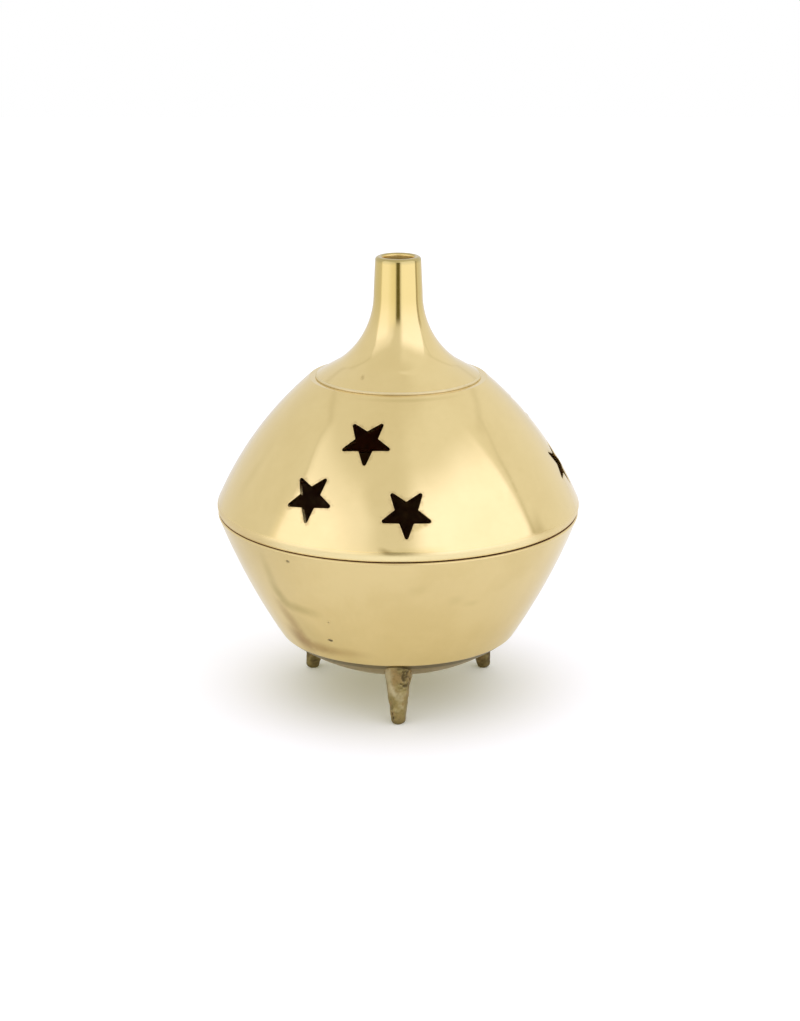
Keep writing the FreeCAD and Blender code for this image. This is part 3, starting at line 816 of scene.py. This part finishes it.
def chimney():
    flange_top = Vector((FLANGE_RADIUS, DOME_TOP_HEIGHT + FLANGE_EDGE))
    item = turned("chimney_flue", [
        corner(SPIGOT_RADIUS - SPIGOT_WALL, SPIGOT_BOTTOM, finish=1, soft=0.12),
        corner(SPIGOT_RADIUS, SPIGOT_BOTTOM, finish=1, soft=0.12),
        corner(SPIGOT_RADIUS, DOME_TOP_HEIGHT + 0.02, finish=2, soft=0.05),
        corner(FLANGE_RADIUS, DOME_TOP_HEIGHT + 0.02, finish=2, soft=0.05),
        corner(*flange_top, finish=2, soft=0.20),
        corner(*flange_top.lerp(Vector((FLARE_RADIUS, FLARE_HEIGHT)), 0.07)),
        corner(FLARE_RADIUS, FLARE_HEIGHT, -FLARE_BEND, steps=64),
        corner(NECK_RADIUS, NECK_HEIGHT, steps=12),
        corner(MOUTH_RADIUS, MOUTH_TOP - MOUTH_ROUND, MOUTH_ROUND, steps=10),
        corner(MOUTH_RADIUS - MOUTH_ROUND, MOUTH_TOP, soft=0.1),
        corner(FLUE_RADIUS + 0.35, MOUTH_TOP, soft=0.22),
        corner(FLUE_RADIUS, MOUTH_TOP - 0.35, finish=1, soft=0.45),
        corner(FLUE_RADIUS, NECK_HEIGHT, FLARE_BEND + NECK_RADIUS - FLUE_RADIUS, finish=1, steps=40),
        corner(THROAT_RADIUS, THROAT_HEIGHT, finish=1, soft=0.4),
        corner(SPIGOT_RADIUS - SPIGOT_WALL, DOME_TOP_HEIGHT, finish=1, soft=0.3),
    ], [lid_outside, flue_smoked, joint_dull])
    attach(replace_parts(item, "chimney"), "lid")


def plain_cylinder(radius, bottom, top, place):
    ends = (0, bottom), (radius, bottom), (radius, top), (0, top)
    return turned("tool", [corner(*end, steps=1) for end in ends], [], around=40, exact=False, place=place)


def ember_plate():
    """Loose plate: a shallow dish with three rings of vents."""
    top = PLATE_BOTTOM + PLATE_THICKNESS
    rim_under = PLATE_RIM_TOP - PLATE_THICKNESS / 2
    item = turned("ember_plate_pierced", [
        corner(RIVET_RADIUS, PLATE_BOTTOM),
        corner(PLATE_FLAT_RADIUS, PLATE_BOTTOM, soft=0.35),
        corner(PLATE_RIM_RADIUS, rim_under, soft=0.2),
        corner(PLATE_RIM_RADIUS - PLATE_THICKNESS, PLATE_RIM_TOP, soft=0.2),
        corner(PLATE_FLAT_RADIUS - PLATE_THICKNESS / 2, top, soft=0.35),
        corner(RIVET_RADIUS, top),
    ], [plate_brass], around=144, exact=False)
    tools = [plain_cylinder(VENT_RADIUS, PLATE_BOTTOM - 1, top + 1, Matrix.Translation(polar(radius, turn, 0)))
             for radius, count in VENT_RINGS for turn in [pi / 2 + 2 * pi * n / count for n in range(count)]]
    cut(item, joined(tools))
    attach(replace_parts(item, "ember_plate"), "plate")


def joined(items):
    """One object from several that don't touch."""
    made = bmesh.new()
    for item in items:
        made.from_mesh(item.data)
        bpy.data.objects.remove(item)
    return bmesh_object("joined", made)


def cone_cup():
    top = PLATE_BOTTOM + PLATE_THICKNESS
    item = turned("cone_cup_turned", [
        corner(0, CUP_BOTTOM, steps=3),
        corner(RIVET_HEAD_RADIUS - 0.3, CUP_BOTTOM, soft=0.2),
        corner(RIVET_HEAD_RADIUS, PLATE_BOTTOM, soft=0.08),
        corner(RIVET_RADIUS, PLATE_BOTTOM),
        corner(RIVET_RADIUS, top),
        corner(CUP_BASE_RADIUS, top, soft=0.15),
        corner(CUP_RADIUS, CUP_TOP - 0.5, soft=0.15),
        corner(CUP_RADIUS, CUP_TOP, soft=0.2),
        corner(CUP_RADIUS - CUP_WALL, CUP_TOP, soft=0.2),
        corner(CUP_BASE_RADIUS - CUP_WALL, top + CUP_FLOOR, soft=0.5),
        corner(0, top + CUP_FLOOR),
    ], [plate_brass], around=96)
    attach(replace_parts(item, "cone_cup"), "plate")


# ---- feet and fasteners
def underside_height(radius):
    """Height of the bowl's underside at a radius between the flat and the crease."""
    hip = Vector((HIP_RADIUS, HIP_HEIGHT))
    if radius > HIP_RADIUS:
        centre, bend = arc_centre(hip, Vector((CREASE_RADIUS, CREASE_HEIGHT)), UNDERSIDE_BEND), UNDERSIDE_BEND
    else:
        centre, bend = arc_centre(Vector((FLAT_RADIUS, FLOOR_HEIGHT)), hip, FLAT_BEND), FLAT_BEND
    return centre.y - sqrt(bend * bend - (radius - centre.x) ** 2)


LEG = ((0.0, 0.93), (0.10, 1.22), (0.3, 1.42), (0.7, 1.57), (1.3, 1.63), (2.6, 1.80), (4.0, 1.97), (6.0, 2.22),
       (8.0, 2.48), (9.8, 2.78), (11.5, 3.02), (13.5, 3.05))   # (distance up the foot, radius)


def leg_radius(angle, up):
    """Radius of the plain tapered leg, whose head spreads outwards under the bowl's crease."""
    share = clamp((up - 8.5) / 4.5)
    flare = 1.5 * share * share * max(0.0, -sin(angle)) ** 2
    for (low_up, low_radius), (high_up, high_radius) in zip(LEG, LEG[1:]):
        if up <= high_up:
            return low_radius + (high_radius - low_radius) * ((up - low_up) / (high_up - low_up)) + flare
    return LEG[-1][1] + flare


def casting_relief(at, angle, up, seed):
    """How far the casting stands out from the plain tapered leg, in millimetres."""
    def lobe(towards, width):
        return exp(-(remainder(angle - towards, 2 * pi) / width) ** 2)

    def rise(start, end):
        share = clamp((up - start) / (end - start))
        return share * share * (3 - 2 * share)

    lump = noise.noise(at * 0.42 + seed)
    ripple = noise.noise(at * 1.15 + seed * 2)
    grain = noise.noise(at * 3.2 + seed * 3)
    ridge = lobe(-1.55 - 0.75 * rise(3.5, 10.5), 0.42) * rise(3.0, 7.5)
    crevice = (1.2 * lobe(-1.12, 0.34) * rise(6.0, 9.0) + 0.9 * lobe(-0.45, 0.26) * rise(6.5, 9.0)
               + 1.1 * lobe(-2.45, 0.30) * (1 - rise(2.0, 5.0)))
    crevice *= 0.65 + 1.1 * noise.noise(at * 1.5 + seed * 4)
    mould_line = exp(-(sin(angle) / 0.10) ** 2)
    return 0.20 * lump + 0.08 * ripple + 0.035 * grain + 0.26 * ridge - 0.36 * crevice + 0.05 * mould_line


def foot(name):
    """Rough cast foot: lumps, pores and a mould line on a tapered leg, with its head inside the bowl's skin."""
    place = foot_frame(name)
    around, rows = 72, 70
    seed = Vector((17.0, 5.0, 3.0)) * (FEET.index(name) + 1)
    # painted shade: the rear feet start from a darker value, so they come out darker all over
    shade = 0.45 if name == "front" else 0.86      # the rear feet are darker
    vertices, hollow_and_shade_values, rings = [], [], []

    angles = [FULL_TURN * k / around for k in range(around)]
    tops = []
    for angle in angles:
        under, over = 8.0, 15.0
        for _ in range(24):
            up = (under + over) / 2
            radius = leg_radius(angle, up)
            point = place @ Vector((radius * cos(angle), radius * sin(angle), up))
            if point.z < underside_height(hypot(point.x, point.y)) + INTO_BOWL:
                under = up
            else:
                over = up
        tops.append(under)
    for row in range(rows + 1):
        ring = []
        share = row / rows
        for angle, top in zip(angles, tops):
            up = top * (0.35 * share * share + 0.65 * share)
            way = heading(angle).to_3d()
            at = way * leg_radius(angle, up) + Vector((0, 0, up))
            out = min(1.0, up / 1.2) * casting_relief(at, angle, up, seed)
            to_top = max(0.0, 1 - (top - up) / 1.8)
            # painted shade: the value rises over the top 1.8 mm of the foot, darkening it where it meets the bowl
            hollow_and_shade_values.append(clamp(shade - out * 1.7 + 0.35 * to_top))
            vertices.append(place @ (at + way * (out + 0.15 * to_top ** 2)))
            ring.append(len(vertices) - 1)
        rings.append(ring)
    # the worn flat under the tip stands on the table
    vertices = [Vector((v.x, v.y, max(v.z, 0.0) if n >= around else 0.0)) for n, v in enumerate(vertices)]
    faces = [[here[k], here[(k + 1) % around], there[(k + 1) % around], there[k]]
             for here, there in zip(rings, rings[1:]) for k in range(around)]
    for ring, up in ((rings[0], False), (rings[-1], True)):
        hub = len(vertices)
        vertices.append(sum((vertices[v] for v in ring), Vector()) / around)
        hollow_and_shade_values.append(0.5)
        for pair in zip(ring, ring[1:] + ring[:1]):
            faces.append([*pair, hub] if up else [hub, *reversed(pair)])
    item = make_object(f"foot_{name}_cast", vertices, faces, [0] * len(faces), [foot_brass])
    give_attribute(item, "hollow_and_shade", hollow_and_shade_values)
    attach(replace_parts(item, f"foot_{name}"), "base")


def foot_fasteners(name):
    place = foot_frame(name)
    washer_top = PAD_HEIGHT + WASHER_THICKNESS
    head_top = washer_top + HEAD_THICKNESS
    washer = turned(f"washer_{name}", [
        corner(SCREW_HOLE_RADIUS, PAD_HEIGHT, soft=0.08),
        corner(WASHER_RADIUS, PAD_HEIGHT, soft=0.08),
        corner(WASHER_RADIUS, washer_top, soft=0.12),
        corner(SCREW_HOLE_RADIUS, washer_top, soft=0.08),
    ], [fastener_brass], around=64, place=place)
    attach(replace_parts(washer, f"foot_washer_{name}"), "base")
    screw = turned(f"screw_{name}", [
        corner(0, SCREW_BOTTOM, steps=2),
        corner(SCREW_RADIUS - SCREW_BEVEL, SCREW_BOTTOM, soft=0.05),
        corner(SCREW_RADIUS, SCREW_BOTTOM + SCREW_BEVEL, soft=0.05),
        corner(SCREW_RADIUS, washer_top, soft=0.05),
        corner(HEAD_RADIUS, washer_top, soft=0.08),
        corner(HEAD_RADIUS, head_top, soft=0.5, steps=3),
        corner(0, head_top),
    ], [fastener_brass], around=64, exact=False, place=place)
    slot_turn = Matrix.Rotation(0.5 + FEET.index(name), 4, "Z")
    cut(screw, block(SLOT_WIDTH, 3 * HEAD_RADIUS, 2 * SLOT_DEPTH,
                     place @ Matrix.Translation((0, 0, head_top)) @ slot_turn))
    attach(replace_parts(screw, f"foot_screw_{name}"), "base")


def block(width, length, height, place):
    made = bmesh.new()
    bmesh.ops.create_cube(made, size=1.0)
    made.transform(Matrix.Scale(MM, 4) @ place @ Matrix.Diagonal((width, length, height, 1.0)))
    return bmesh_object("block", made)


# ---- stage and light
def table_top():
    """Pale table top that glows faintly: painted light, warmer round the burner, where it stands for light bounced
    off the brass.

    It ends in front of the burner, so that the neck mirrors the open side of the tent.
    """
    mesh = bpy.data.meshes.new("floor")
    near, far, side = -0.27, 1.1, 0.32
    mesh.from_pydata([(-side, near, 0), (side, near, 0), (side, far, 0), (-side, far, 0)], [], [(0, 1, 2, 3)])
    item = new_object("floor", mesh)
    material, nodes, shader = new_material("pale_floor")
    point, _, radius, _ = turned_coordinates(nodes)
    sideways = nodes.add("ShaderNodeSeparateXYZ", {0: point}).outputs[0]
    seen = nodes.add("ShaderNodeLightPath").outputs["Is Camera Ray"]
    # painted light: the floor glows, warm and yellow near the burner, even and paler further out
    painted_glow = nodes.mix(nodes.ramp(radius, 14, 46), (0.105, 0.112, 0.030), (0.150, 0.165, 0.195))
    mirrored_painted_glow = nodes.mix(nodes.ramp(radius, 18, 60), (0.205, 0.187, 0.090), (0.125, 0.125, 0.128))
    # the painted glow seen in mirrors fades out on the left, which darkens the floor mirrored there
    mirrored_painted_glow = nodes.mix(nodes.ramp(sideways, -80, -40, 0.8, 0.0), mirrored_painted_glow, (0.0, 0.0, 0.0))
    nodes.feed(shader, {"Emission Color": nodes.mix(seen, mirrored_painted_glow, painted_glow), "Emission Strength": 1.0,
                        "Base Color": nodes.mix(seen, (0.765, 0.762, 0.755), (0.93, 0.925, 0.915)),
                        "Roughness": 0.9, "Specular IOR Level": 0.1})
    mesh.materials.append(material)


def overhead_light():
    """Weak soft light above the burner."""
    data = bpy.data.lights.new("overhead", "AREA")
    data.shape, data.size = "SQUARE", 0.8
    data.energy = 1.8
    item = new_object("overhead", data)
    item.location = (-0.12, 0.05, 1.2)
    item.visible_glossy = False


def light_tent():
    """World: a white photographer's tent, open in a slit at the front, with two lit panels beside the slit."""
    world = bpy.data.worlds.new("light_tent")
    bpy.context.scene.world = world
    world.use_nodes = True
    nodes = Nodes(world.node_tree)
    both, plus, minus, ramp, fall, mix = nodes.times, nodes.plus, nodes.minus, nodes.ramp, nodes.fall, nodes.mix
    way = nodes.add("ShaderNodeTexCoord").outputs["Generated"]
    parts = nodes.add("ShaderNodeSeparateXYZ", {0: way}).outputs
    degrees = 180 / pi
    azimuth = both(nodes.math("ARCTAN2", parts[0], both(parts[1], -1.0)), degrees)
    elevation = both(nodes.math("ARCSINE", parts[2]), degrees)

    def window(value, start, end, soft_start, soft_end):
        return both(ramp(value, start - soft_start, start + soft_start), fall(value, end - soft_end, end + soft_end))

    # the panels' outer edges run straight up, then lean back into the tent's sewn edges
    right_lean = plus(ramp(elevation, 18, 40, 0, 6), ramp(elevation, 34, 44, 0, 14))
    left_lean = ramp(elevation, 36, 48, 0, -12)
    from_right = minus(minus(azimuth, 94.8), right_lean)
    from_left = minus(plus(azimuth, 85), left_lean)
    lowered = plus(elevation, ramp(azimuth, 62, 92, 0, 5))
    right_panel = both(window(azimuth, 13, 92.6, 10, 1.8), window(lowered, -70, 50, 5, 10))
    left_panel = both(window(from_left, 1.5, 46, 2, 15), window(elevation, -70, 37, 5, 8))
    left_glow = both(window(from_left, 4, 66, 6, 8), window(elevation, -70, 49, 5, 6))
    low_left = both(window(azimuth, -87, -11, 4, 5), window(elevation, -70, 24, 5, 10))
    slit = both(window(azimuth, -9, 9, 4, 4), window(elevation, -14, 21, 1.5, 8))
    steepness = nodes.math("DIVIDE", parts[2], nodes.math("MAXIMUM", nodes.math("ABSOLUTE", parts[0]), 0.001))
    behind_right, behind_left = ramp(azimuth, 98, 106), fall(azimuth, -100, -94)
    seams = [both(both(behind_right, 0.4), window(steepness, 0.91, 1.00, 0.04, 0.04)),
             both(both(behind_left, 0.5), window(steepness, 1.15, 1.25, 0.04, 0.04)),
             both(window(from_right, -1.0, 1.2, 0.8, 0.8), window(elevation, 4, 42, 5, 2)),
             both(both(window(from_left, -1.2, 1.0, 0.8, 0.8), 0.45), window(elevation, 28, 48, 5, 1))]
    sewn = nodes.math("MAXIMUM", nodes.math("MAXIMUM", *seams[:2]), nodes.math("MAXIMUM", *seams[2:]))
    olive_edge = both(window(azimuth, 91, 103, 2, 4), window(elevation, -20, 15, 5, 5))

    colour = mix(ramp(elevation, 35, 80), (0.90, 0.89, 0.90), (0.87, 0.85, 0.83))
    for cover, tint in (
        (both(ramp(azimuth, 88, 100), fall(azimuth, 140, 165)), (0.97, 0.96, 0.98)),
        (both(window(azimuth, 12, 100, 14, 4), window(elevation, 5, 74, 5, 10)), (0.99, 0.985, 1.015)),
        (both(left_glow, 0.42), (1.44, 1.44, 1.66)),
        (both(low_left, 0.60), (1.34, 1.28, 1.22)),
        (right_panel, (1.45, 1.46, 1.72)),
        (left_panel, (1.43, 1.42, 1.62)),
        (both(sewn, 0.40), (0.40, 0.34, 0.20)),
        (both(olive_edge, 0.55), (0.35, 0.28, 0.12)),
        (slit, (0.17, 0.15, 0.05)),
        (nodes.add("ShaderNodeLightPath").outputs["Is Camera Ray"], (1.0, 1.0, 1.0)),
    ):
        colour = mix(cover, colour, tint)
    world.node_tree.links.new(colour, world.node_tree.nodes["Background"].inputs["Color"])


def camera():
    """Camera a little above the burner, in front of it."""
    aim = Vector((0, 0, 47.4)) * MM
    distance, lowered = 503 * MM, radians(16.46)
    data = bpy.data.cameras.new("camera")
    data.lens, data.sensor_width = 77.57, 36.0
    data.shift_x, data.shift_y = 0.0018, -0.0196
    data.clip_start = 0.01
    item = new_object("camera", data)
    back = Vector((0, -cos(lowered), sin(lowered)))
    item.location = aim + back * distance
    item.rotation_mode = "QUATERNION"
    item.rotation_quaternion = (-back).to_track_quat("-Z", "Y")
    bpy.context.scene.camera = item


bowl()
lid_dome()
lid_ring()
chimney()
ember_plate()
cone_cup()
for foot_name in FEET:
    foot(foot_name)
    foot_fasteners(foot_name)
table_top()
overhead_light()
light_tent()
camera()
bpy.context.scene.view_settings.view_transform = "Standard"
